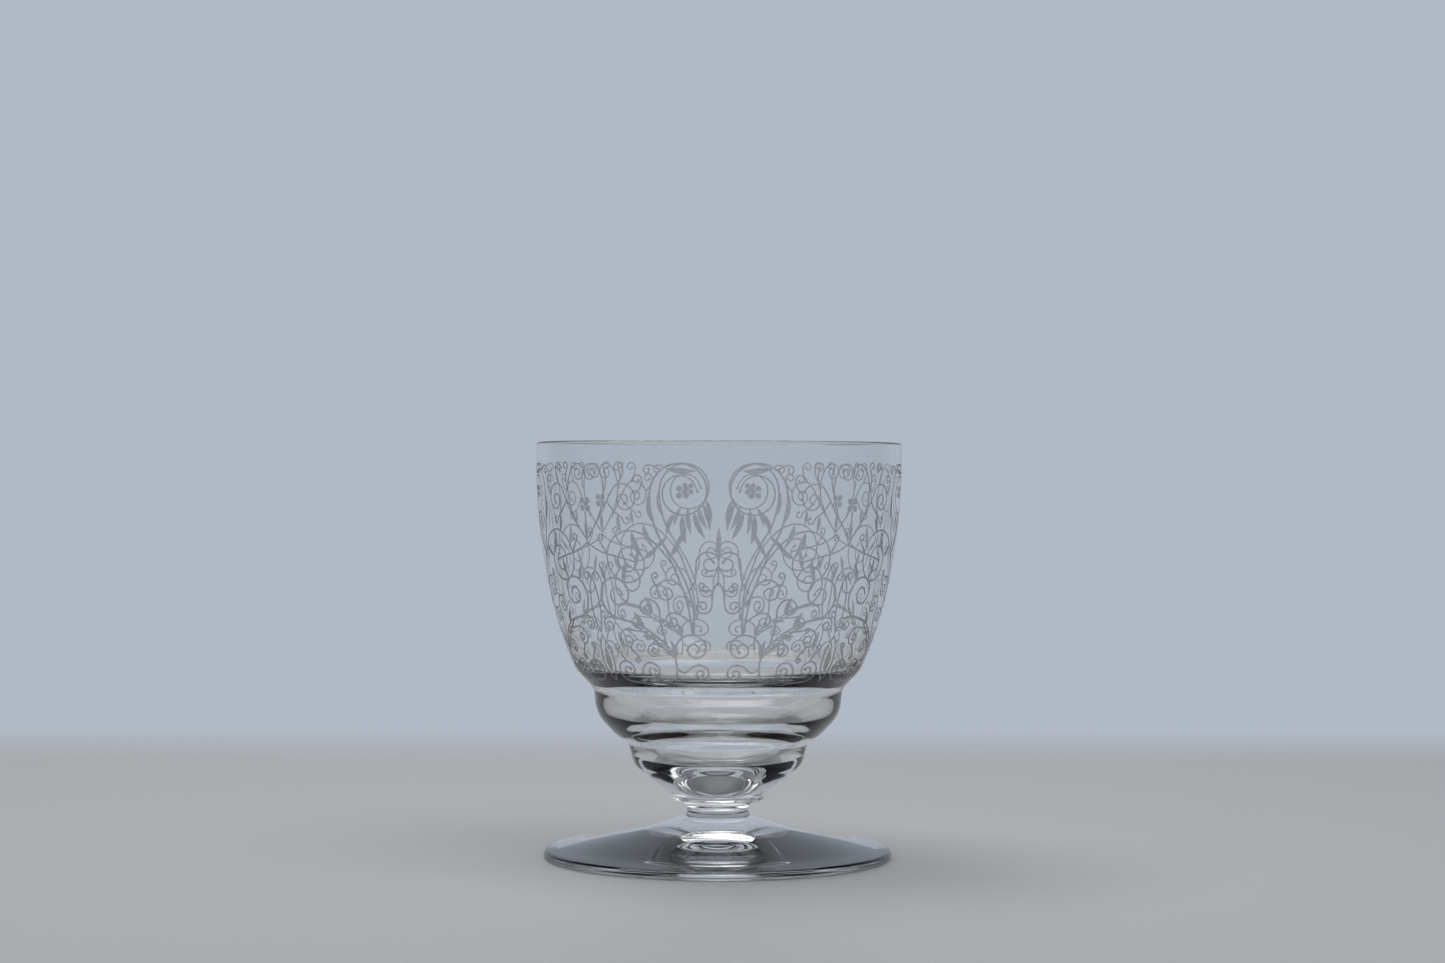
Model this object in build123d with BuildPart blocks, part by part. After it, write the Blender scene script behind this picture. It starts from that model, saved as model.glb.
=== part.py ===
"""Footed crystal glass: a bowl with two stepped tiers, a collar, a stem and a foot.

Millimetres, +Z up. The origin is the centre of the ring that the glass stands on.
Every piece is turned about the Z axis. The pieces are separate gathers of glass,
fused hot, so each one meets the next on a flat face of its own.
"""

import os

from build123d import *

# Overall size
HEIGHT = 84.0
RIM_RADIUS = 37.0
FOOT_RADIUS = 35.2

# Heights of the flat faces where one piece is fused to the next
FOOT_TOP = 8.4
STEM_TOP = 11.6
COLLAR_TOP = 12.7

# Radii of those faces
FOOT_JOINT_RADIUS = 6.6
STEM_JOINT_RADIUS = 7.7
BOWL_JOINT_RADIUS = 9.0

# Bowl
RIM_WALL = 1.1
CAVITY_FLOOR = 16.4
TIER_1_RADIUS = 24.9
TIER_2_RADIUS = 17.0

# Collar and stem
COLLAR_RADIUS = 9.4
COLLAR_EDGE = 0.45
STEM_WAIST_RADIUS = 6.25
STEM_WAIST_HEIGHT = 9.4

# Foot
FOOT_EDGE = 1.7
FOOT_EDGE_ROUNDING = 0.8
RING_OUTER_RADIUS = 34.0
RING_INNER_RADIUS = 32.4
HOLLOW_RISE = 1.0

# Each outline row is a corner: radius, height, rounding.

# Outside of the bowl, from the rim down to its base
BOWL_OUTSIDE = [
    (RIM_RADIUS, 66.8, 122.0),  # the upright wall turns inwards slowly
    (32.4, 46.3, 75.0),  # and faster lower down
    (28.8, 38.0, 4.3),  # shoulder under the round bowl
    (25.1, 34.3, 3.8),  # waist above the first tier
    (TIER_1_RADIUS, 29.4, 7.5),  # first tier
    (20.8, 24.8, 12.5),  # its rounded underside
    (18.2, 23.2, 0.8),  # crease above the second tier
    (TIER_2_RADIUS, 18.6, 4.5),  # second tier
    (11.8, 14.5, 10.0),  # rounded underside down to the base
]

# Inside of the bowl, from the middle of its floor up to the rim
BOWL_INSIDE = [
    (3.0, CAVITY_FLOOR, 3.0),  # a shallow dish for a floor
    (12.3, 20.2, 5.0),  # inside the second tier
    (15.5, 26.4, 5.0),  # step up to the first tier
    (20.9, 30.3, 6.0),  # inside the first tier
    (23.0, 37.5, 3.0),  # ledge behind the shoulder
    (27.3, 38.2, 3.4),  # outer end of the ledge
    (31.2, 47.2, 45.0),  # lower wall
    (RIM_RADIUS - RIM_WALL, 66.9, 120.0),  # upright wall
]

# Outside of the foot, from its joint with the stem down to its edge
FOOT_OUTSIDE = [
    (14.0, 5.9, 30.0),  # hollow sweep away from the stem
    (29.0, 2.4, 20.0),  # gentle dome towards the edge
    (FOOT_RADIUS, FOOT_EDGE, FOOT_EDGE_ROUNDING),  # rounded edge, top
    (FOOT_RADIUS, 0.0, FOOT_EDGE_ROUNDING),  # rounded edge, bottom
]


def points(outline):
    """The corners of an outline as 2-D points."""
    return [(radius, height) for radius, height, _ in outline]


def roundings(outline):
    """The rounding of each corner of an outline."""
    return [rounding for _, _, rounding in outline]


# Foot: a domed disc on a narrow polished ring, slightly hollow underneath
with BuildPart() as foot:
    with BuildSketch(Plane.XZ):
        with BuildLine():
            top = FilletPolyline(
                (FOOT_JOINT_RADIUS, FOOT_TOP),
                *points(FOOT_OUTSIDE),
                (RING_OUTER_RADIUS, 0.0),
                radius=roundings(FOOT_OUTSIDE),
            )
            ring = Line(top @ 1, (RING_INNER_RADIUS, 0.0))
            hollow = Spline(
                ring @ 1,
                (0.0, HOLLOW_RISE),
                tangents=[(-RING_INNER_RADIUS, 2 * HOLLOW_RISE), (-1.0, 0.0)],
            )
            axis_line = Line(hollow @ 1, (0.0, FOOT_TOP))
            Line(axis_line @ 1, top @ 0)
        make_face()
    revolve(axis=Axis.Z)

# Stem: a short waisted spool that flares towards the collar
with BuildPart() as stem:
    with BuildSketch(Plane.XZ):
        with BuildLine():
            side = Spline(
                (FOOT_JOINT_RADIUS, FOOT_TOP),
                (STEM_WAIST_RADIUS, STEM_WAIST_HEIGHT),
                (STEM_JOINT_RADIUS, STEM_TOP),
                tangents=[(-1.0, 1.6), (1.5, 1.0)],
            )
            Polyline(side @ 1, (0.0, STEM_TOP), (0.0, FOOT_TOP), side @ 0)
        make_face()
    revolve(axis=Axis.Z)

# Collar: a thin disc with a rounded edge
with BuildPart() as collar:
    with BuildSketch(Plane.XY.offset(STEM_TOP)):
        Circle(COLLAR_RADIUS)
    extrude(amount=COLLAR_TOP - STEM_TOP)
    fillet(collar.edges().filter_by(GeomType.CIRCLE), radius=COLLAR_EDGE)

# Bowl: one hollow gather, thin at the rim and heavy in the two tiers
with BuildPart() as bowl:
    rim_centre = HEIGHT - RIM_WALL / 2
    with BuildSketch(Plane.XZ):
        with BuildLine():
            inside = FilletPolyline(
                (0.0, CAVITY_FLOOR),
                *points(BOWL_INSIDE),
                (RIM_RADIUS - RIM_WALL, rim_centre),
                radius=roundings(BOWL_INSIDE),
            )
            rim = ThreePointArc(
                inside @ 1,
                (RIM_RADIUS - RIM_WALL / 2, HEIGHT),
                (RIM_RADIUS, rim_centre),
            )
            outside = FilletPolyline(
                rim @ 1,
                *points(BOWL_OUTSIDE),
                (BOWL_JOINT_RADIUS, COLLAR_TOP),
                radius=roundings(BOWL_OUTSIDE),
            )
            Polyline(outside @ 1, (0.0, COLLAR_TOP), inside @ 0)
        make_face()
    revolve(axis=Axis.Z)

foot.part.label = "foot"
stem.part.label = "stem"
collar.part.label = "collar"
bowl.part.label = "bowl"

os.makedirs("parts", exist_ok=True)
export_step(foot.part, "parts/foot.step")
export_step(stem.part, "parts/stem.step")
export_step(collar.part, "parts/collar.step")
export_step(bowl.part, "parts/bowl.step")
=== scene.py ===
"""Looks of the footed crystal glass: smooth glass pieces and the etched scrollwork band."""

import math

import bpy
import numpy as np
from mathutils import Matrix, Vector
from mathutils.geometry import delaunay_2d_cdt


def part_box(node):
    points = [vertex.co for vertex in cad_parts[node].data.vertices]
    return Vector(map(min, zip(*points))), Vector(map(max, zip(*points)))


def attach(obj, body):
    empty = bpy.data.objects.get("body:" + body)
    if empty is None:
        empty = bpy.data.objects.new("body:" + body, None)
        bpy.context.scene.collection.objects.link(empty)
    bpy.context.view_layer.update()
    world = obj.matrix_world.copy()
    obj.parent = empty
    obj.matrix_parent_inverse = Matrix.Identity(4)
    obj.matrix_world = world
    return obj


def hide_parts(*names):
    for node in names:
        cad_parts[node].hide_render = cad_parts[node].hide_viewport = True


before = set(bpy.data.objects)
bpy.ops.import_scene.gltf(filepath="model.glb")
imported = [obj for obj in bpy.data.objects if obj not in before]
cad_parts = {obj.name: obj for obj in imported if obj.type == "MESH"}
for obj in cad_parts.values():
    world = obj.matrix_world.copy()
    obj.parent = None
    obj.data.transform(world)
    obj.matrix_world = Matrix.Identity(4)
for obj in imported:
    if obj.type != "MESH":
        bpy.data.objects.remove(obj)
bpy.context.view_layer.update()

MM = 0.001

# Sizes in millimetres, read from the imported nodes
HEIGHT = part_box("bowl")[1].z / MM
RIM_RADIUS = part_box("bowl")[1].x / MM
COLLAR_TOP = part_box("bowl")[0].z / MM
COLLAR_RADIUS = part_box("collar")[1].x / MM
STEM_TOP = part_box("collar")[0].z / MM
STEM_JOINT_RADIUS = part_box("stem")[1].x / MM
FOOT_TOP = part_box("foot")[1].z / MM
FOOT_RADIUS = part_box("foot")[1].x / MM

# The same outlines as the CAD part, in millimetres: radius, height, rounding
RIM_WALL = 1.1
CAVITY_FLOOR = 16.4
BOWL_JOINT_RADIUS = 9.0
BOWL_OUTSIDE = [
    (RIM_RADIUS, 66.8, 122.0),
    (32.4, 46.3, 75.0),
    (28.8, 38.0, 4.3),
    (25.1, 34.3, 3.8),
    (24.9, 29.4, 7.5),
    (20.8, 24.8, 12.5),
    (18.2, 23.2, 0.8),
    (17.0, 18.6, 4.5),
    (11.8, 14.5, 10.0),
]
BOWL_INSIDE = [
    (3.0, CAVITY_FLOOR, 3.0),
    (12.3, 20.2, 5.0),
    (15.5, 26.4, 5.0),
    (20.9, 30.3, 6.0),
    (23.0, 37.5, 3.0),
    (27.3, 38.2, 3.4),
    (31.2, 47.2, 45.0),
    (RIM_RADIUS - RIM_WALL, 66.9, 120.0),
]
COLLAR_EDGE = 0.45
COLLAR_FLAT_RADIUS = COLLAR_RADIUS - COLLAR_EDGE
RIM_CENTRE = HEIGHT - RIM_WALL / 2
FOOT_JOINT_RADIUS = 6.6
STEM_SIDE = [  # two Bezier curves that meet at the waist
    [(FOOT_JOINT_RADIUS, FOOT_TOP), (6.41, 8.7), (6.28, 9.04), (6.25, 9.4)],
    [(6.25, 9.4), (6.18, 10.37), (6.9, 11.06), (STEM_JOINT_RADIUS, STEM_TOP)],
]
FOOT_OUTSIDE = [
    (14.0, 5.9, 30.0),
    (29.0, 2.4, 20.0),
    (FOOT_RADIUS, 1.7, 0.8),
    (FOOT_RADIUS, 0.0, 0.8),
]
RING_OUTER_RADIUS = 34.0
RING_INNER_RADIUS = 32.4
HOLLOW_RISE = 1.0

SIDES = 192  # facets round a piece
BAND_BOTTOM = 36.4  # heights between which the etched band lies
BAND_TOP = 81.4
ETCH_DEPTH = 0.05  # how far the pattern is sunk into the band
BAND_RADIUS = 33.0  # radius at which the pattern is drawn
HALF_REPEATS = 8  # the pattern is mirrored every eighth of a turn
HALF_WIDTH = BAND_RADIUS * 2 * math.pi / HALF_REPEATS
PATTERN_TURN = math.radians(-90)  # the first mirror line faces the front

CRYSTAL, ETCHED, JOINT = 0, 1, 2  # places of the materials on each piece


# ---------------------------------------------------------------- outlines
def rounded(corners, step=0.02):
    """A polyline with rounded corners as closely spaced points.

    Corners are (radius, height) or (radius, height, rounding).
    """
    points = [np.array(c[:2], float) for c in corners]
    path = [points[0]]
    for before, corner, after, row in zip(points, points[1:], points[2:], corners[1:]):
        radius = row[2] if len(row) > 2 else 0.0
        back = (before - corner) / np.linalg.norm(before - corner)
        on = (after - corner) / np.linalg.norm(after - corner)
        turn = math.pi - math.acos(max(-1.0, min(1.0, float(back @ on))))
        if radius == 0.0 or turn < 1e-6:
            path.append(corner)
            continue
        middle = (back + on) / np.linalg.norm(back + on)
        centre = corner + middle * radius / math.cos(turn / 2)
        start = corner + back * radius * math.tan(turn / 2) - centre
        end = corner + on * radius * math.tan(turn / 2) - centre
        first = math.atan2(start[1], start[0])
        sweep = (math.atan2(end[1], end[0]) - first + math.pi) % (2 * math.pi) - math.pi
        count = max(4, int(abs(sweep) * radius / step))
        for angle in first + sweep * np.linspace(0, 1, count):
            path.append(centre + radius * np.array([math.cos(angle), math.sin(angle)]))
    path.append(points[-1])
    return np.array(path)


def bezier(a, b, c, d):
    """A cubic Bezier curve as closely spaced points."""
    t = np.linspace(0, 1, 60)[:, None]
    a, b, c, d = (np.array(point) for point in (a, b, c, d))
    return (1 - t) ** 3 * a + 3 * (1 - t) ** 2 * t * b + 3 * (1 - t) * t**2 * c + t**3 * d


def even(path, step=0.02):
    """The same path with evenly spaced points, and the distance along it."""
    along = np.concatenate([[0], np.cumsum(np.linalg.norm(np.diff(path, axis=0), axis=1))])
    places = np.linspace(0, along[-1], int(along[-1] / step) + 1)
    return np.column_stack([np.interp(places, along, path[:, k]) for k in (0, 1)]), places


def softened(path, width=0.3, step=0.02):
    """Hot glass has no sudden changes of curvature: the path is averaged over width, its ends held."""
    path, _ = even(path, step)
    reach = int(3 * width / step)
    kernel = np.exp(-0.5 * (np.arange(-reach, reach + 1) * step / width) ** 2)
    kernel /= kernel.sum()
    soft = np.empty_like(path)
    for k in (0, 1):
        start = 2 * path[0, k] - path[reach:0:-1, k]
        end = 2 * path[-1, k] - path[-2 : -reach - 2 : -1, k]
        soft[:, k] = np.convolve(np.concatenate([start, path[:, k], end]), kernel, "valid")
    return soft


def normals_of(path):
    """Unit normals on the right-hand side of the path's direction."""
    along = np.gradient(path, axis=0)
    along /= np.linalg.norm(along, axis=1)[:, None]
    return np.column_stack([along[:, 1], -along[:, 0]])


def thinned(path, normals, turn=math.radians(7), step=3.0):
    """Keeps a point wherever the direction has turned enough or the last kept point is far away."""
    keep = [0]
    distance = 0.0
    for k in range(1, len(path)):
        distance += np.linalg.norm(path[k] - path[k - 1])
        bend = math.acos(max(-1.0, min(1.0, float(normals[k] @ normals[keep[-1]]))))
        if bend > turn or distance > step:
            keep.append(k)
            distance = 0.0
    if keep[-1] != len(path) - 1:
        keep.append(len(path) - 1)
    return path[keep], normals[keep]


# ---------------------------------------------------------------- mesh building
class Skin:
    """Collects faces with a normal at every corner, then welds them into one mesh."""

    def __init__(self):
        self.corners, self.normals, self.sizes, self.kinds = [], [], [], []

    def add(self, corners, normals, kind):
        """corners and normals: (faces, corners per face, 3), in millimetres."""
        self.corners.append(corners.reshape(-1, 3))
        self.normals.append(normals.reshape(-1, 3))
        self.sizes += [corners.shape[1]] * corners.shape[0]
        self.kinds += [kind] * corners.shape[0]

    def turned(self, path, normals, kind):
        """The surface that a path of (r, z) makes when it is turned about Z."""
        angles = PATTERN_TURN + np.arange(SIDES + 1) % SIDES * 2 * math.pi / SIDES
        c, s = np.cos(angles)[None, :], np.sin(angles)[None, :]
        place = np.stack([path[:, :1] * c, path[:, :1] * s, path[:, 1:] + 0 * c], -1)
        out = np.stack([normals[:, :1] * c, normals[:, :1] * s, normals[:, 1:] + 0 * c], -1)
        low, high = slice(0, SIDES), slice(1, SIDES + 1)
        for k in range(len(path) - 1):
            if path[k, 0] < 1e-6:
                parts = [(k, low), (k + 1, high), (k + 1, low)]
            elif path[k + 1, 0] < 1e-6:
                parts = [(k, low), (k, high), (k + 1, low)]
            else:
                parts = [(k, low), (k, high), (k + 1, high), (k + 1, low)]
            corners = np.stack([place[row, columns] for row, columns in parts], 1)
            outwards = np.stack([out[row, columns] for row, columns in parts], 1)
            self.add(corners, outwards, kind)

    def smooth(self, path):
        """A turned surface of clear glass, outwards on the right-hand side of the path."""
        self.turned(*thinned(path, normals_of(path)), CRYSTAL)

    def flat(self, outer, inner, height, up, kind):
        """A flat ring or, with inner 0, a disc."""
        radii = (outer, inner) if up else (inner, outer)
        path = np.array([(radius, height) for radius in radii], float)
        normals = np.array([(0.0, 1.0 if up else -1.0)] * 2)
        self.turned(path, normals, kind)

    def build(self, name, materials):
        """The piece as one closed mesh with its own corner normals."""
        corners = np.concatenate(self.corners) * MM
        keys = np.round(corners / 1e-8).astype(np.int64)
        _, first, index = np.unique(keys, axis=0, return_index=True, return_inverse=True)
        index = index.reshape(-1)
        mesh = bpy.data.meshes.new(name)
        sizes = np.array(self.sizes)
        starts = np.concatenate([[0], np.cumsum(sizes)[:-1]])
        mesh.vertices.add(len(first))
        mesh.vertices.foreach_set("co", corners[first].astype(np.float32).ravel())
        mesh.loops.add(len(index))
        mesh.loops.foreach_set("vertex_index", index.astype(np.int32))
        mesh.polygons.add(len(sizes))
        mesh.polygons.foreach_set("loop_start", starts.astype(np.int32))
        mesh.polygons.foreach_set("loop_total", sizes.astype(np.int32))
        mesh.polygons.foreach_set("material_index", np.array(self.kinds, np.int32))
        for material in materials:
            mesh.materials.append(material)
        mesh.update(calc_edges=True)
        normals = np.concatenate(self.normals)
        normals /= np.linalg.norm(normals, axis=1)[:, None]
        mesh.polygons.foreach_set("use_smooth", np.ones(len(sizes), bool))
        mesh.normals_split_custom_set(normals.tolist())
        piece = bpy.data.objects.new(name, mesh)
        bpy.context.scene.collection.objects.link(piece)
        return piece


# ---------------------------------------------------------------- the etched pattern
# Millimetres on the glass, at a place where weight() is 1
LINE = 0.34  # width of a stem
LINE_END = 0.85 * LINE  # width of its tip
BALL = 0.29  # radius of the drop on its tip
STALK_GAP = 0.42  # how far the two lines of a split stem part, from its middle
TOP_OF_DRAWING = 45.0  # height of the drawing above its lower edge


def b_spline(points, per_span=8):
    """A smooth curve that follows its control points and starts and ends on them."""
    control = np.array(points, float)
    control = np.vstack([2 * control[0] - control[1], control, 2 * control[-1] - control[-2]])
    t = np.linspace(0, 1, per_span, endpoint=False)[:, None]
    share_a = (1 - t) ** 3
    share_b = 3 * t**3 - 6 * t**2 + 4
    share_c = -3 * t**3 + 3 * t**2 + 3 * t + 1
    share_d = t**3
    spans = []
    for a, b, c, d in zip(control, control[1:], control[2:], control[3:]):
        spans.append((share_a * a + share_b * b + share_c * c + share_d * d) / 6)
    spans.append(control[-2:-1])
    return np.vstack(spans)


def volute(x, y, outer, inner, start, sweep):
    """Control points that wind round (x, y) from radius outer to radius inner. Angles in degrees."""
    count = max(4, int(abs(sweep) / 38) + 1)
    points = []
    for k in range(count + 1):
        share = k / count
        angle = math.radians(start + sweep * share)
        radius = outer * (inner / outer) ** share
        radius *= 3 / (2 + math.cos(math.radians(sweep / count)))
        points.append((x + radius * math.cos(angle), y + radius * math.sin(angle)))
    return points


def resampled(path, turn=math.radians(11), step=1.2):
    """Fewer points on a line where it is straight, more where it winds."""
    ahead = np.diff(path, axis=0)
    heading = np.unwrap(np.arctan2(ahead[:, 1], ahead[:, 0]))
    run = np.linalg.norm(ahead, axis=1)
    cost = np.maximum(np.abs(np.gradient(heading)) / turn, run / step)
    along = np.concatenate([[0], np.cumsum(cost)])
    places = np.linspace(0, along[-1], max(3, int(math.ceil(along[-1])) + 1))
    return np.column_stack([np.interp(places, along, path[:, k]) for k in (0, 1)])


def sideways(path):
    """Unit vectors to the left of the path's direction."""
    ahead = np.gradient(path, axis=0)
    ahead /= np.linalg.norm(ahead, axis=1)[:, None]
    return np.column_stack([-ahead[:, 1], ahead[:, 0]])


def weight(y):
    """Share of a line's nominal width at height y of the drawing.

    The lines get finer towards the rim. The band is larger or smaller than its drawing there, and
    the division undoes that, so that their width on the glass is true.
    """
    return np.interp(y, [0, TOP_OF_DRAWING], [1.24, 0.88]) / local_scale(y)


class Pattern:
    """One mirrored half of the repeat, drawn as convex patches on the unrolled band, in millimetres."""

    def __init__(self):
        self.patches = []

    def ribbon(self, path, width):
        """A line along path. width is a function of the share of the way along it."""
        side = sideways(path)
        half = (width(np.linspace(0, 1, len(path))) * weight(path[:, 1]) / 2)[:, None]
        left, right = path + side * half, path - side * half
        for k in range(len(path) - 1):
            self.patches.append(np.array([right[k], right[k + 1], left[k + 1], left[k]]))

    def vine(self, points, width=LINE, ball=True):
        """A stem along control points that tapers from width to its tip, with or without a drop on it."""
        path = resampled(b_spline(points))
        self.ribbon(path, lambda t: width + (LINE_END - width) * t)
        if ball:
            self.dot(path[-1][0], path[-1][1], BALL)

    def stalk(self, points):
        """A split stem: two lines that part and meet again."""
        path = resampled(b_spline(points))
        t = np.linspace(0, 1, len(path))[:, None]
        apart = sideways(path) * (LINE / 4 + STALK_GAP * np.sin(math.pi * t) ** 0.7)
        for half in (path - apart, path + apart):
            self.ribbon(half, lambda t: LINE + 0 * t)

    def dot(self, x, y, radius, sides=12):
        """A round spot."""
        angles = np.arange(sides) * 2 * math.pi / sides
        radius *= weight(y)
        rim = np.column_stack([x + radius * np.cos(angles), y + radius * np.sin(angles)])
        self.patches.append(rim)

    def leaf(self, x, y, heading, length, width=1.15, bend=0.12):
        """A pointed leaf from (x, y), heading in degrees."""
        along = np.array([math.cos(math.radians(heading)), math.sin(math.radians(heading))])
        across = np.array([-along[1], along[0]])
        t = np.linspace(0, 1, 8)[:, None]
        path = np.array([x, y]) + along * length * t + across * bend * length * 2 * t * (1 - t)
        self.ribbon(path, lambda t: np.maximum(width * np.sin(math.pi * t**0.8) ** 0.9, 0.05))

    def flower(self, x, y, radius, petals, turn):
        """Round petals about a small centre. The first petal lies at turn degrees."""
        reach = 0.56 * radius
        for k in range(petals):
            angle = math.radians(turn + 360 * k / petals)
            self.dot(x + reach * math.cos(angle), y + reach * math.sin(angle), 0.42 * radius)
        self.dot(x, y, 0.2 * radius, 6)


def clipped(patch, limit, sign):
    """The part of a convex patch to the right of x = limit, or with sign -1 to its left."""
    kept = []
    for a, b in zip(patch, np.roll(patch, -1, axis=0)):
        inside_a = sign * (a[0] - limit) >= 0
        inside_b = sign * (b[0] - limit) >= 0
        if inside_a:
            kept.append(a)
        if inside_a != inside_b:
            kept.append(a + (b - a) * (limit - a[0]) / (b[0] - a[0]))
    return np.array(kept)


def covered(points, patches):
    """Which of the points lie inside any of the convex patches."""
    inside = np.zeros(len(points), bool)
    for patch in patches:
        within = np.ones(len(points), bool)
        for a, b in zip(patch, np.roll(patch, -1, axis=0)):
            within &= (b[0] - a[0]) * (points[:, 1] - a[1]) >= (b[1] - a[1]) * (points[:, 0] - a[0])
        inside |= within
    return inside


def draw_pattern():
    """Scrolling vines between two mirror lines, A at x = 0 and B at x = HALF_WIDTH."""
    p = Pattern()
    # bottom volute beside A, and the small loop under it
    p.vine([(9.6, 1.4), (9.0, 3.6), (8.8, 6.2)] + volute(4.8, 9.6, 4.1, 0.75, -12, 600))
    p.vine([(8.9, 5.2), (7.2, 3.6)] + volute(3.7, 3.9, 2.5, 0.5, 35, 560))
    # stem A, and its scroll round a flower
    p.stalk([(4.9, 12.9), (4.9, 17.6), (5.9, 21.8), (7.5, 25.6), (9.0, 28.6)])
    p.vine([(9.0, 28.6), (11.1, 31.8)] + volute(6.4, 38.9, 5.9, 2.6, -25, 560), width=0.45)
    p.flower(6.2, 39.0, 1.5, 4, 45)
    p.leaf(9.0, 43.1, 188, 4.6, 0.95)
    p.leaf(2.7, 36.9, 255, 4.8, 0.95, -0.1)
    p.leaf(4.2, 35.6, 248, 5.0)
    p.leaf(6.2, 35.1, 264, 5.2)
    p.leaf(7.7, 35.3, 292, 4.0, 0.95)
    p.leaf(11.8, 34.0, 82, 4.4, 0.95, -0.1)
    p.leaf(8.5, 27.9, 116, 4.2, 0.95)
    p.vine([(10.1, 42.7), (11.6, 43.6)] + volute(12.5, 42.7, 0.9, 0.35, 110, -330))
    # loop to the right of stem A
    p.vine([(7.5, 25.2), (9.4, 28.0), (12.4, 31.4)] + volute(16.8, 26.7, 5.6, 1.3, 95, -700))
    p.leaf(15.8, 32.0, 248, 4.8)
    p.leaf(13.6, 27.4, 140, 3.8, 0.95)
    p.leaf(18.6, 23.2, 105, 4.2, 0.95)
    p.leaf(22.5, 23.0, 70, 3.4, 0.9)
    # stem B with its scroll
    p.stalk([(8.8, 7.6), (11.2, 10.8), (14.8, 13.6), (17.4, 15.1)])
    p.vine([(17.2, 15.0), (18.9, 15.6)] + volute(20.0, 20.5, 4.7, 1.0, -65, 600), width=0.45)
    # heart over B
    p.vine([(15.5, 26.7), (18.4, 27.5), (21.8, 28.1), (24.6, 29.1), (26.5, 30.6)], ball=False)
    p.vine(
        [(26.4, 30.1), (23.8, 32.8), (21.5, 36.6), (21.1, 40.6), (22.8, 43.9)]
        + volute(24.3, 42.3, 1.75, 0.45, 60, -480)
    )
    p.vine([(HALF_WIDTH, 34.2), (HALF_WIDTH, 35.6)], ball=False)
    p.flower(HALF_WIDTH, 36.8, 1.6, 4, 45)
    p.leaf(HALF_WIDTH, 30.9, 90, 3.6, 0.9, 0)
    # curls off the heart
    p.vine([(23.2, 33.6), (21.6, 35.8), (19.6, 39.4)] + volute(17.1, 37.6, 3.0, 0.6, 65, 560))
    p.vine([(18.3, 40.3), (17.4, 41.6)] + volute(18.3, 43.2, 1.2, 0.4, 210, -380))
    p.vine([(14.9, 38.6), (13.7, 39.7)] + volute(14.5, 41.1, 1.05, 0.4, 200, -360))
    p.vine([(21.2, 39.0), (20.6, 41.6)] + volute(20.5, 43.5, 0.95, 0.35, -60, 330))
    p.vine([(20.7, 37.4), (19.0, 35.2)] + volute(16.6, 34.1, 0.9, 0.35, 30, -300))
    p.leaf(18.4, 34.9, 262, 3.0, 0.85)
    p.vine([(21.1, 27.9), (22.3, 29.4)] + volute(22.4, 31.0, 0.85, 0.35, -80, 330))
    # between the two stems A
    p.vine([(5.7, 21.0), (4.1, 22.9), (4.0, 25.6)] + volute(1.55, 26.5, 2.45, 0.7, 20, 500))
    p.vine([(0.0, 22.4), (0.0, 27.6)], ball=False)
    p.vine([(-0.3, 23.6), (0.9, 22.0), (1.2, 20.4)] + volute(2.9, 18.5, 1.7, 0.45, 180, 540))
    p.vine([(1.0, 21.6), (2.3, 21.4)] + volute(2.9, 22.4, 0.85, 0.3, -70, 300))
    p.leaf(0, 27.4, 90, 4.0, 1.1, 0)
    # sprays off stem A
    p.vine([(5.1, 18.4), (6.3, 21.3)] + volute(9.6, 21.1, 2.9, 0.5, 160, -600))
    p.vine([(11.3, 21.8), (12.2, 23.3)] + volute(11.6, 24.2, 0.75, 0.3, -10, 300))
    p.vine([(4.8, 14.8), (6.3, 16.3)] + volute(8.8, 15.5, 1.85, 0.45, 130, -560))
    # sprays off stem B
    p.vine([(10.5, 10.0), (11.0, 13.3), (11.5, 15.6)] + volute(13.8, 17.9, 2.5, 0.5, 190, -560))
    p.vine([(9.7, 8.9), (12.1, 10.2)] + volute(13.4, 9.0, 1.75, 0.45, 110, -560))
    p.vine([(14.2, 13.2), (17.8, 13.4)] + volute(19.1, 11.4, 2.4, 0.5, 110, -580))
    p.vine([(19.3, 10.0), (18.0, 8.8)] + volute(17.8, 6.9, 0.8, 0.3, 110, 330))
    p.vine([(19.2, 15.6), (22.0, 15.9)] + volute(23.1, 14.4, 1.6, 0.45, 90, -520))
    p.leaf(15.4, 14.1, 66, 3.4, 0.95)
    p.leaf(12.4, 11.9, 8, 3.2, 0.9)
    p.leaf(8.7, 8.0, 76, 3.6, 0.9)
    # bottom row
    p.vine([(9.4, 2.4), (11.4, 1.1)] + volute(14.5, 4.4, 3.45, 0.6, -115, 640))
    p.leaf(12.9, 1.3, 62, 3.0, 0.9)
    p.vine([(15.4, 0.95), (18.0, 1.0)] + volute(20.7, 4.5, 3.4, 0.6, -100, 620))
    p.vine([(20.8, 6.6), (21.6, 8.2)] + volute(22.2, 9.8, 0.85, 0.35, -80, 330))
    # column at B
    p.vine([(26.2, 0.9), (24.6, 4.0), (24.0, 7.2), (24.8, 10.4), (26.3, 12.7)], ball=False)
    p.leaf(HALF_WIDTH, 3.8, 90, 5.6, 1.2, 0)
    p.vine([(26.1, 12.5), (25.0, 14.8), (24.7, 17.9), (25.0, 21.1)] + volute(24.7, 23.8, 1.2, 0.4, -60, 460))
    return p.patches


# ---------------------------------------------------------------- the bowl
outside_corners = [(BOWL_JOINT_RADIUS, COLLAR_TOP), *BOWL_OUTSIDE[::-1], (RIM_RADIUS, RIM_CENTRE)]
inside_corners = [(RIM_RADIUS - RIM_WALL, RIM_CENTRE), *BOWL_INSIDE[::-1], (0.0, CAVITY_FLOOR)]
bowl_outside = softened(rounded(outside_corners))
bowl_inside = softened(rounded(inside_corners))

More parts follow.
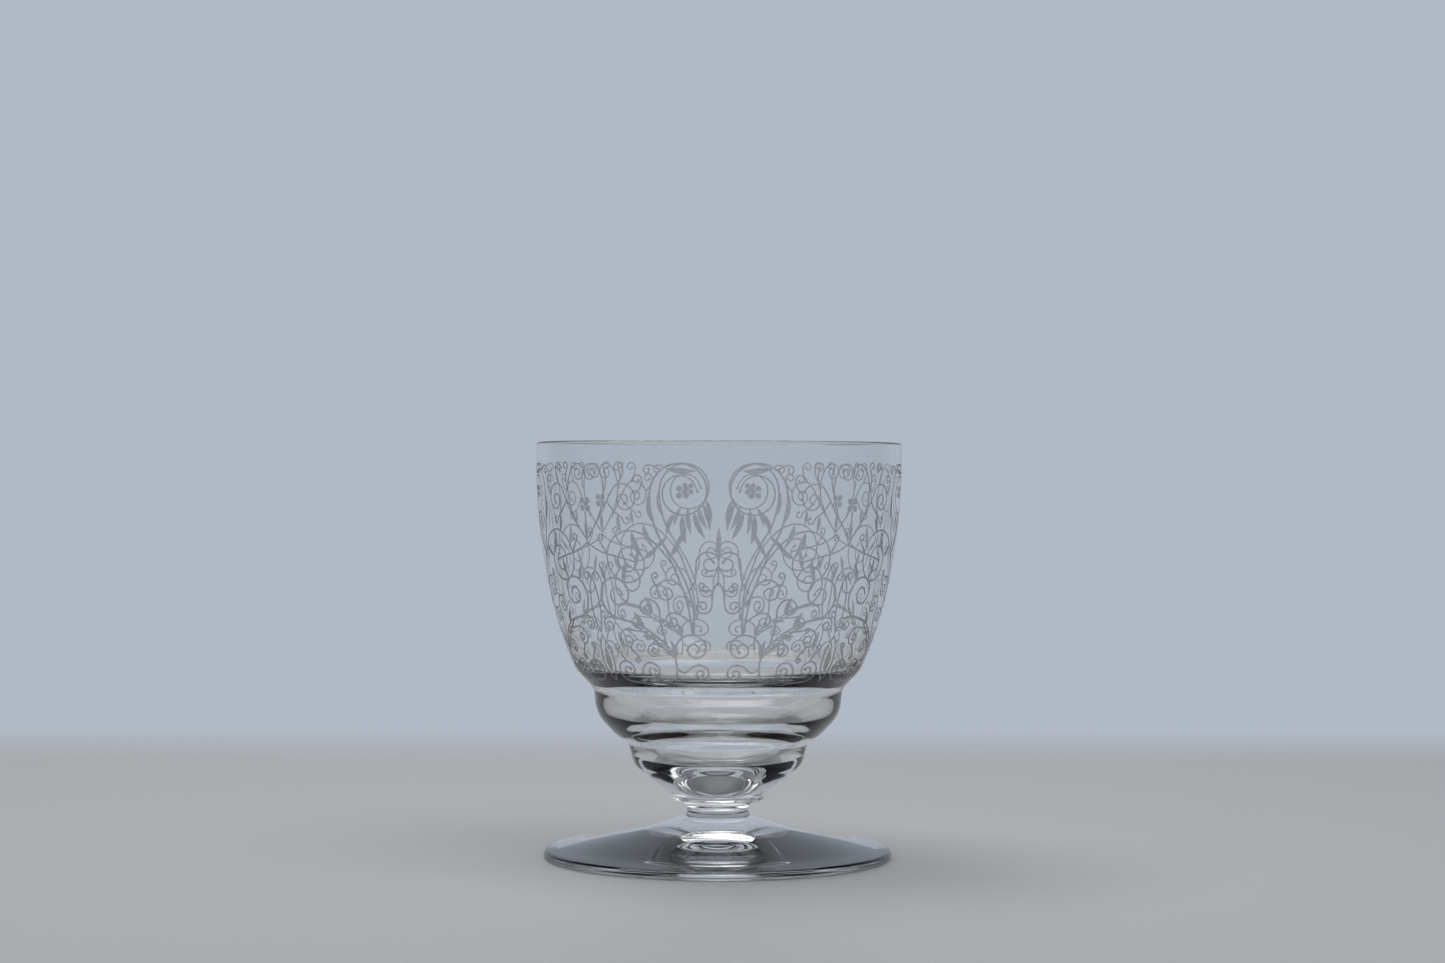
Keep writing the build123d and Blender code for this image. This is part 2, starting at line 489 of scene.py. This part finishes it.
in_band = (bowl_outside[:, 1] > BAND_BOTTOM) & (bowl_outside[:, 1] < BAND_TOP)
band = bowl_outside[in_band]
band_normals = normals_of(bowl_outside)[in_band]
# A small circle on the band is a circle on its drawing too: x is the angle, and y grows by the
# path's length over its radius. rise is y at each point of the band.
rise = np.linalg.norm(np.diff(band, axis=0), axis=1) / (band[1:, 0] + band[:-1, 0]) * 2
rise = np.concatenate([[0], np.cumsum(rise)]) * BAND_RADIUS


def local_scale(y):
    """How much larger the band is at height y than its drawing."""
    return np.interp(y, rise, band[:, 0]) / BAND_RADIUS


def snapped(values, targets):
    """Values that lie within a hair of a target take that target exactly, so that neighbours weld."""
    nearest = targets[np.abs(values[:, None] - targets[None, :]).argmin(axis=1)]
    return np.where(np.abs(values - nearest) < 1e-3, nearest, values)


def divided_band():
    """Triangles over one half repeat of the band, and which of them are etched."""
    top = rise[-1]
    xs = np.linspace(0, HALF_WIDTH, SIDES // HALF_REPEATS + 1)
    ys = np.linspace(0, top, int(top / 1.3))
    grid = [(x, 0.0) for x in xs] + [(HALF_WIDTH, y) for y in ys[1:-1]]
    grid += [(x, top) for x in xs[::-1]] + [(0.0, y) for y in ys[-2:0:-1]]
    edges = [(k, (k + 1) % len(grid)) for k in range(len(grid))]
    grid += [(x, y) for x in xs[1:-1] for y in ys[1:-1]]
    patches = [clipped(clipped(patch, 0.0, 1), HALF_WIDTH, -1) for patch in draw_pattern()]
    patches = [patch for patch in patches if len(patch) > 2]
    for patch in patches:
        edges += [(len(grid) + k, len(grid) + (k + 1) % len(patch)) for k in range(len(patch))]
        grid += [tuple(corner) for corner in patch]
    result = delaunay_2d_cdt([Vector(v) for v in grid], edges, [], 0, 1e-3, False)
    flat = np.array([tuple(v) for v in result[0]])
    triangles = np.array(result[2])
    flat[:, 1] = snapped(flat[:, 1], np.array([0.0, top]))
    flat[:, 0] = snapped(flat[:, 0], xs[[0, -1]])
    on_row = (flat[:, 1] == 0.0) | (flat[:, 1] == top)
    flat[on_row, 0] = snapped(flat[on_row, 0], xs)
    # no slivers along the two mirror lines
    for line in (0.0, HALF_WIDTH):
        triangles = triangles[~(flat[triangles, 0] == line).all(axis=1)]
    etched = covered(flat[triangles].mean(axis=1), patches)
    a, b, c = (flat[triangles[:, k]] for k in range(3))
    area = (b[:, 0] - a[:, 0]) * (c[:, 1] - a[:, 1]) - (b[:, 1] - a[:, 1]) * (c[:, 0] - a[:, 0])
    clockwise = area < 0
    triangles[clockwise] = triangles[clockwise][:, ::-1]
    return flat, triangles, etched


def etched_band(skin):
    """The band between the clear parts of the bowl, with the pattern sunk into it."""
    flat, triangles, etched = divided_band()

    # edges with etched glass on their left and clear glass on their right
    owner = {}
    for tri, sunk in zip(triangles.tolist(), etched.tolist()):
        for k in range(3):
            owner[(tri[k], tri[(k + 1) % 3])] = sunk
    walls = np.array([e for e, sunk in owner.items() if sunk and owner.get((e[1], e[0])) is False])

    radius, height = (np.interp(flat[:, 1], rise, band[:, k]) for k in (0, 1))
    out_r, out_z = (np.interp(flat[:, 1], rise, band_normals[:, k]) for k in (0, 1))
    for repeat in range(HALF_REPEATS):
        mirrored = repeat % 2 == 1
        first = PATTERN_TURN + (repeat + repeat % 2) * 2 * math.pi / HALF_REPEATS
        angle = first + (-1 if mirrored else 1) * flat[:, 0] / BAND_RADIUS
        place = np.column_stack([radius * np.cos(angle), radius * np.sin(angle), height])
        out = np.column_stack([out_r * np.cos(angle), out_r * np.sin(angle), out_z])
        sunken = place - out * ETCH_DEPTH
        order = slice(None, None, -1) if mirrored else slice(None)
        for kind, chosen, points in ((CRYSTAL, ~etched, place), (ETCHED, etched, sunken)):
            tris = triangles[chosen][:, order]
            skin.add(points[tris], out[tris], kind)
        low, high = walls[:, order].T
        quads = np.stack([sunken[high], sunken[low], place[low], place[high]], 1)
        facing = np.cross(quads[:, 1] - quads[:, 0], quads[:, 3] - quads[:, 0])
        facing /= np.maximum(np.linalg.norm(facing, axis=1)[:, None], 1e-12)
        skin.add(quads, np.repeat(facing[:, None, :], 4, 1), ETCHED)


def make_bowl(materials):
    skin = Skin()
    skin.flat(COLLAR_FLAT_RADIUS, 0.0, COLLAR_TOP, False, JOINT)
    skin.flat(BOWL_JOINT_RADIUS, COLLAR_FLAT_RADIUS, COLLAR_TOP, False, CRYSTAL)
    below = bowl_outside[bowl_outside[:, 1] <= BAND_BOTTOM]
    skin.smooth(np.vstack([below, band[:1]]))
    etched_band(skin)
    above = bowl_outside[bowl_outside[:, 1] >= BAND_TOP]
    skin.smooth(np.vstack([band[-1:], above]))
    over = np.linspace(0, math.pi, 13)
    rim_normals = np.column_stack([np.cos(over), np.sin(over)])
    skin.turned(rim_normals * RIM_WALL / 2 + (RIM_RADIUS - RIM_WALL / 2, RIM_CENTRE), rim_normals, CRYSTAL)
    skin.smooth(bowl_inside)
    return skin.build("bowl_glass", materials)


def make_collar(materials):
    skin = Skin()
    skin.flat(STEM_JOINT_RADIUS, 0.0, STEM_TOP, False, JOINT)
    skin.flat(COLLAR_FLAT_RADIUS, STEM_JOINT_RADIUS, STEM_TOP, False, CRYSTAL)
    for first, height in ((-90, STEM_TOP + COLLAR_EDGE), (0, COLLAR_TOP - COLLAR_EDGE)):
        round_edge = np.radians(np.linspace(first, first + 90, 9))
        edge_normals = np.column_stack([np.cos(round_edge), np.sin(round_edge)])
        skin.turned(edge_normals * COLLAR_EDGE + (COLLAR_FLAT_RADIUS, height), edge_normals, CRYSTAL)
    side = np.array([(COLLAR_RADIUS, STEM_TOP + COLLAR_EDGE), (COLLAR_RADIUS, COLLAR_TOP - COLLAR_EDGE)])
    skin.turned(side, np.array([(1.0, 0.0), (1.0, 0.0)]), CRYSTAL)
    skin.flat(COLLAR_FLAT_RADIUS, 0.0, COLLAR_TOP, True, JOINT)
    return skin.build("collar_glass", materials)


def make_stem(materials):
    skin = Skin()
    skin.flat(FOOT_JOINT_RADIUS, 0.0, FOOT_TOP, False, JOINT)
    lower, upper = (bezier(*row) for row in STEM_SIDE)
    skin.smooth(np.vstack([lower, upper[1:]]))
    skin.flat(STEM_JOINT_RADIUS, 0.0, STEM_TOP, True, JOINT)
    return skin.build("stem_glass", materials)


def make_foot(materials):
    skin = Skin()
    hollow_radius = np.linspace(0, RING_INNER_RADIUS, 60)
    hollow_height = HOLLOW_RISE * (1 - (hollow_radius / RING_INNER_RADIUS) ** 2)
    skin.smooth(np.column_stack([hollow_radius, hollow_height]))
    skin.flat(RING_OUTER_RADIUS, RING_INNER_RADIUS, 0.0, False, CRYSTAL)
    outline = [(RING_OUTER_RADIUS, 0.0), *FOOT_OUTSIDE[::-1], (FOOT_JOINT_RADIUS, FOOT_TOP)]
    skin.smooth(even(rounded(outline))[0])
    skin.flat(FOOT_JOINT_RADIUS, 0.0, FOOT_TOP, True, JOINT)
    return skin.build("foot_glass", materials)


# ---------------------------------------------------------------- materials
CRYSTAL_IOR = 1.545
FROST_DARK = (0.55, 0.55, 0.56, 1.0)
FROST_LIGHT = (0.72, 0.72, 0.73, 1.0)


def new_material(name):
    material = bpy.data.materials.new(name)
    material.use_nodes = True
    tree = material.node_tree
    return material, tree, tree.nodes["Principled BSDF"]


def noise(tree, scale, detail=2.0):
    """Noise in the object's own space. Scale is in features per metre."""
    place = tree.nodes.new("ShaderNodeTexCoord")
    texture = tree.nodes.new("ShaderNodeTexNoise")
    texture.inputs["Scale"].default_value = scale
    texture.inputs["Detail"].default_value = detail
    tree.links.new(place.outputs["Object"], texture.inputs["Vector"])
    return texture.outputs["Fac"]


def mapped(tree, value, low, high, start=0.0, end=1.0):
    """The value, carried from the range start to end over to the range low to high."""
    node = tree.nodes.new("ShaderNodeMapRange")
    node.inputs["From Min"].default_value = start
    node.inputs["From Max"].default_value = end
    node.inputs["To Min"].default_value = low
    node.inputs["To Max"].default_value = high
    tree.links.new(value, node.inputs["Value"])
    return node.outputs["Result"]


def bumped(tree, shader, height, distance):
    """Unevenness of the shader's surface, distance metres deep."""
    bump = tree.nodes.new("ShaderNodeBump")
    bump.inputs["Distance"].default_value = distance
    bump.inputs["Strength"].default_value = 1.0
    tree.links.new(height, bump.inputs["Height"])
    tree.links.new(bump.outputs["Normal"], shader.inputs["Normal"])


def crystal_material():
    """Polished lead crystal: the faint waviness of hand-worked glass, and a barely uneven polish."""
    material, tree, shader = new_material("crystal")
    shader.inputs["Base Color"].default_value = (0.975, 0.98, 0.98, 1.0)
    shader.inputs["Transmission Weight"].default_value = 1.0
    shader.inputs["IOR"].default_value = CRYSTAL_IOR
    tree.links.new(mapped(tree, noise(tree, 60.0), 0.0, 0.02, 0.4, 0.8), shader.inputs["Roughness"])
    bumped(tree, shader, noise(tree, 90.0, 1.0), 0.00002)
    return material


def etched_material():
    """Acid-etched glass: a fine grey-white frost, slightly patchy."""
    material, tree, shader = new_material("etched_frost")
    ramp = tree.nodes.new("ShaderNodeValToRGB")
    for element, place, colour in zip(ramp.color_ramp.elements, (0.3, 0.7), (FROST_DARK, FROST_LIGHT)):
        element.position = place
        element.color = colour
    tree.links.new(noise(tree, 900.0, 4.0), ramp.inputs["Fac"])
    tree.links.new(ramp.outputs["Color"], shader.inputs["Base Color"])
    shader.inputs["IOR"].default_value = CRYSTAL_IOR
    shader.inputs["Transmission Weight"].default_value = 0.7
    tree.links.new(mapped(tree, noise(tree, 2500.0, 3.0), 0.42, 0.6), shader.inputs["Roughness"])
    bumped(tree, shader, noise(tree, 9000.0, 2.0), 0.00002)
    return material


def joint_material():
    """Where two gathers are fused there is no surface, so light goes straight through."""
    material, tree, shader = new_material("fused_joint")
    clear = tree.nodes.new("ShaderNodeBsdfTransparent")
    tree.links.new(clear.outputs[0], tree.nodes["Material Output"].inputs["Surface"])
    tree.nodes.remove(shader)
    return material


materials = [crystal_material(), etched_material(), joint_material()]

bowl = make_bowl(materials)
collar = make_collar(materials)
stem = make_stem(materials)
foot = make_foot(materials)
for piece, node, slot in (
    (bowl, "bowl", "etched_crystal"),
    (collar, "collar", "crystal"),
    (stem, "stem", "crystal"),
    (foot, "foot", "crystal"),
):
    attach(piece, "root")
    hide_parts(node)


# ---------------------------------------------------------------- floor, backdrop and light
# Metres from here on
FLOOR_CORNERS = [(-0.9, -0.9), (0.9, -0.9), (0.9, 0.29), (-0.9, 0.29)]
FLOOR_FADE = (0.19, 0.28)  # the far edge melts into the wall between these places on Y
FLOOR_HEIGHT = -0.00005  # just under the foot, so that the two faces don't coincide
WALL_COLOUR = (0.44, 0.485, 0.555, 1.0)  # the wall behind the glass
STUDIO_WALL = 0.55  # brightness of the other walls, as a share of that wall's
CEILING = 0.05  # and of the ceiling
LAMPS = [  # name, place, size, watts; all of them face the origin
    ("key_softbox", (-0.22, 0.16, 0.9), 0.6, 2.8),
    ("fill_softbox", (0.3, -0.2, 0.9), 0.7, 2.1),
]
CAMERA_PLACE = (0.00073, -0.565, 0.0775)
CAMERA_LENS = 69.36
CAMERA_TILT = 90 - 0.144  # degrees, 90 is level
CAMERA_ROLL = 0.2


def make_floor():
    """A plain pale floor whose far edge fades into the wall."""
    mesh = bpy.data.meshes.new("floor")
    corners = [(x, y, FLOOR_HEIGHT) for x, y in FLOOR_CORNERS]
    mesh.from_pydata(corners, [], [(0, 1, 2, 3)])
    floor = bpy.data.objects.new("floor", mesh)
    bpy.context.scene.collection.objects.link(floor)
    material, tree, shader = new_material("floor")
    shader.inputs["Base Color"].default_value = (0.75, 0.75, 0.755, 1.0)
    shader.inputs["Roughness"].default_value = 0.55
    place = tree.nodes.new("ShaderNodeTexCoord")
    parts = tree.nodes.new("ShaderNodeSeparateXYZ")
    tree.links.new(place.outputs["Object"], parts.inputs["Vector"])
    tree.links.new(mapped(tree, parts.outputs["Y"], 1.0, 0.0, *FLOOR_FADE), shader.inputs["Alpha"])
    mesh.materials.append(material)


def make_backdrop():
    """A bright wall behind the glass, darker studio walls on the other sides, and a dark ceiling."""
    world = bpy.data.worlds.new("backdrop")
    bpy.context.scene.world = world
    world.use_nodes = True
    tree = world.node_tree
    place = tree.nodes.new("ShaderNodeTexCoord")
    parts = tree.nodes.new("ShaderNodeSeparateXYZ")
    tree.links.new(place.outputs["Generated"], parts.inputs["Vector"])
    backwards = mapped(tree, parts.outputs["Y"], STUDIO_WALL, 1.0, 0.55, 0.8)
    upwards = mapped(tree, parts.outputs["Z"], 1.0, CEILING, 0.48, 0.68)
    both = tree.nodes.new("ShaderNodeMath")
    both.operation = "MULTIPLY"
    tree.links.new(backwards, both.inputs[0])
    tree.links.new(upwards, both.inputs[1])
    background = tree.nodes["Background"]
    background.inputs["Color"].default_value = WALL_COLOUR
    tree.links.new(both.outputs[0], background.inputs["Strength"])


def make_lamp(name, place, size, watts):
    """A square softbox that faces the origin."""
    light = bpy.data.lights.new(name, "AREA")
    light.shape = "SQUARE"
    light.size = size
    light.energy = watts
    lamp = bpy.data.objects.new(name, light)
    lamp.location = place
    lamp.rotation_euler = (-Vector(place)).to_track_quat("-Z", "Y").to_euler()
    bpy.context.scene.collection.objects.link(lamp)


def make_camera():
    """The photograph's viewing angle: level, and just below the height of the rim."""
    data = bpy.data.cameras.new("camera")
    data.sensor_width = 36.0
    data.lens = CAMERA_LENS
    data.clip_start = 0.01
    camera = bpy.data.objects.new("camera", data)
    camera.location = CAMERA_PLACE
    tilt = Matrix.Rotation(math.radians(CAMERA_TILT), 3, "X")
    roll = Matrix.Rotation(math.radians(CAMERA_ROLL), 3, "Z")
    camera.rotation_euler = (tilt @ roll).to_euler()
    bpy.context.scene.collection.objects.link(camera)
    bpy.context.scene.camera = camera


make_floor()
make_backdrop()
for lamp in LAMPS:
    make_lamp(*lamp)
make_camera()

BOUNCES = 24  # enough for light to get through all walls of the glass
scene = bpy.context.scene
scene.view_settings.view_transform = "Standard"
scene.cycles.max_bounces = BOUNCES
scene.cycles.transmission_bounces = BOUNCES
scene.cycles.transparent_max_bounces = BOUNCES
